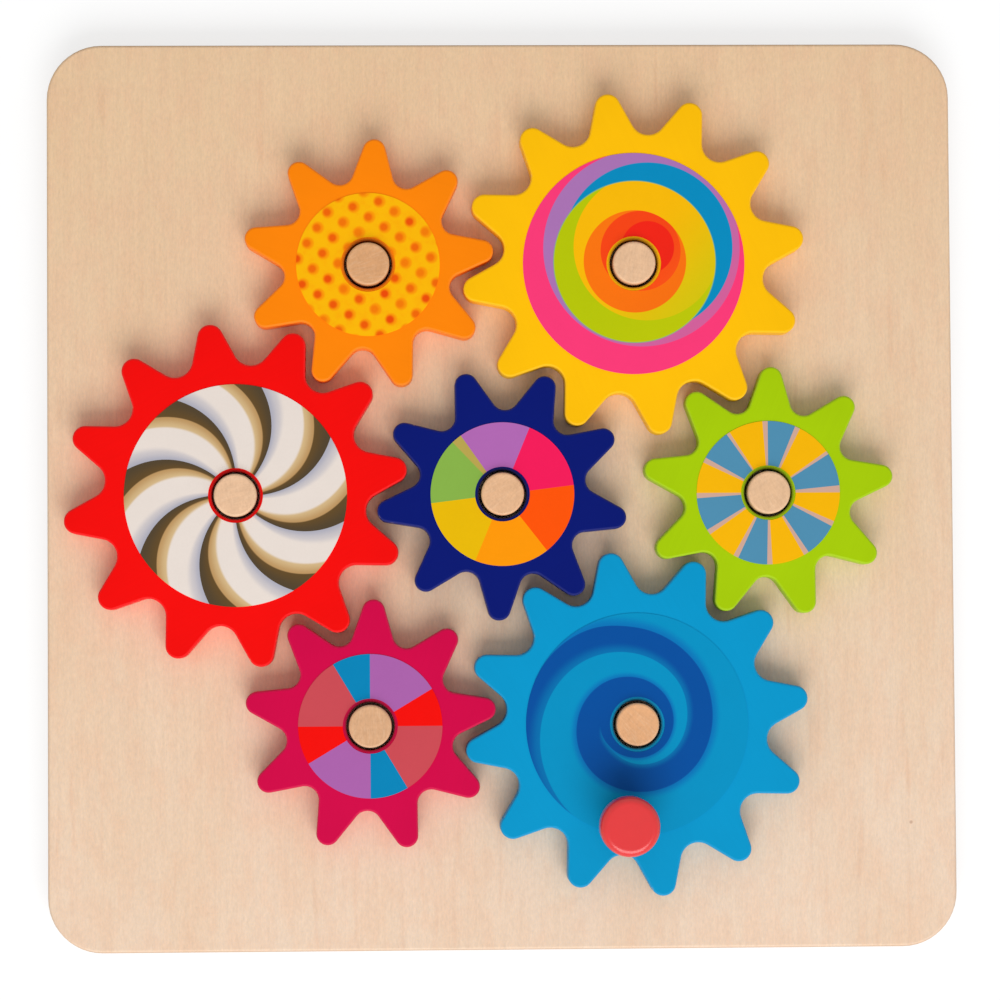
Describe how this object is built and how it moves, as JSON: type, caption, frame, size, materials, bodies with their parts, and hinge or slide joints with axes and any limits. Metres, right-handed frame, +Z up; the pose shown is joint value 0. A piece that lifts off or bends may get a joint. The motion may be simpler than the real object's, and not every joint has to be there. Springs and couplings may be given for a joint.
{
  "type": "wooden crank gear toy",
  "caption": "Square wooden board with meshing painted gears on pegs, each with a printed pattern, turned by a knob on one gear.",
  "frame": {"origin": "centre of the board's underside", "axes": "+Z up out of the board along the pegs, +Y to the board's upper edge as the player sees it, +X to its right edge"},
  "size_m": [0.3, 0.3, 0.0423],
  "materials": {
    "board_wood": "satin clear varnish on pale plywood",
    "peg_wood": "sanded dowel, clear varnish",
    "knob_paint": "red paint on turned wood",
    "blue_paint": "satin dark blue paint on wood",
    "blue_print": "printed pattern, satin",
    "green_paint": "satin lime green paint on wood",
    "green_print": "printed pattern, satin",
    "yellow_paint": "satin yellow paint on wood",
    "yellow_print": "printed pattern, satin",
    "orange_paint": "satin orange paint on wood",
    "orange_print": "printed pattern, satin",
    "red_paint": "satin red paint on wood",
    "red_print": "printed pattern, satin",
    "pink_paint": "satin crimson pink paint on wood",
    "pink_print": "printed pattern, satin",
    "crank_paint": "satin light blue paint on wood",
    "crank_print": "printed pattern, satin"
  },
  "bodies": {
    "board": {"base_board": "board_wood", "blue_gear_peg": "peg_wood", "green_gear_peg": "peg_wood", "yellow_gear_peg": "peg_wood", "orange_gear_peg": "peg_wood", "red_gear_peg": "peg_wood", "pink_gear_peg": "peg_wood", "crank_gear_peg": "peg_wood"},
    "crank_wheel": {"crank_gear": "crank_paint", "crank_gear_print": "crank_print", "crank_knob": "knob_paint", "crank_knob_dowel": "peg_wood"},
    "blue_wheel": {"blue_gear": "blue_paint", "blue_gear_print": "blue_print"},
    "green_wheel": {"green_gear": "green_paint", "green_gear_print": "green_print"},
    "yellow_wheel": {"yellow_gear": "yellow_paint", "yellow_gear_print": "yellow_print"},
    "orange_wheel": {"orange_gear": "orange_paint", "orange_gear_print": "orange_print"},
    "red_wheel": {"red_gear": "red_paint", "red_gear_print": "red_print"},
    "pink_wheel": {"pink_gear": "pink_paint", "pink_gear_print": "pink_print"}
  },
  "joints": [
    {"name": "crank_gear_spin", "type": "hinge", "parent": "board", "child": "crank_wheel", "pos_m": [0.04375, -0.07578, 0.0173], "axis": [0, 0, 1], "continuous": true},
    {"name": "blue_gear_spin", "type": "hinge", "parent": "board", "child": "blue_wheel", "pos_m": [0, 0, 0.0173], "axis": [0, 0, 1], "continuous": true},
    {"name": "green_gear_spin", "type": "hinge", "parent": "board", "child": "green_wheel", "pos_m": [0.0875, 0, 0.0173], "axis": [0, 0, 1], "continuous": true},
    {"name": "yellow_gear_spin", "type": "hinge", "parent": "board", "child": "yellow_wheel", "pos_m": [0.04375, 0.07578, 0.0173], "axis": [0, 0, 1], "continuous": true},
    {"name": "orange_gear_spin", "type": "hinge", "parent": "board", "child": "orange_wheel", "pos_m": [-0.04375, 0.07578, 0.0173], "axis": [0, 0, 1], "continuous": true},
    {"name": "red_gear_spin", "type": "hinge", "parent": "board", "child": "red_wheel", "pos_m": [-0.0875, 0, 0.0173], "axis": [0, 0, 1], "continuous": true},
    {"name": "pink_gear_spin", "type": "hinge", "parent": "board", "child": "pink_wheel", "pos_m": [-0.04375, -0.07578, 0.0173], "axis": [0, 0, 1], "continuous": true}
  ],
  "couplings": [
    {"joint": "blue_gear_spin", "follows": "crank_gear_spin", "ratio": -1.3333},
    {"joint": "green_gear_spin", "follows": "crank_gear_spin", "ratio": -1.3333},
    {"joint": "yellow_gear_spin", "follows": "crank_gear_spin", "ratio": 1},
    {"joint": "orange_gear_spin", "follows": "crank_gear_spin", "ratio": -1.3333},
    {"joint": "red_gear_spin", "follows": "crank_gear_spin", "ratio": 1},
    {"joint": "pink_gear_spin", "follows": "crank_gear_spin", "ratio": -1.3333}
  ]
}
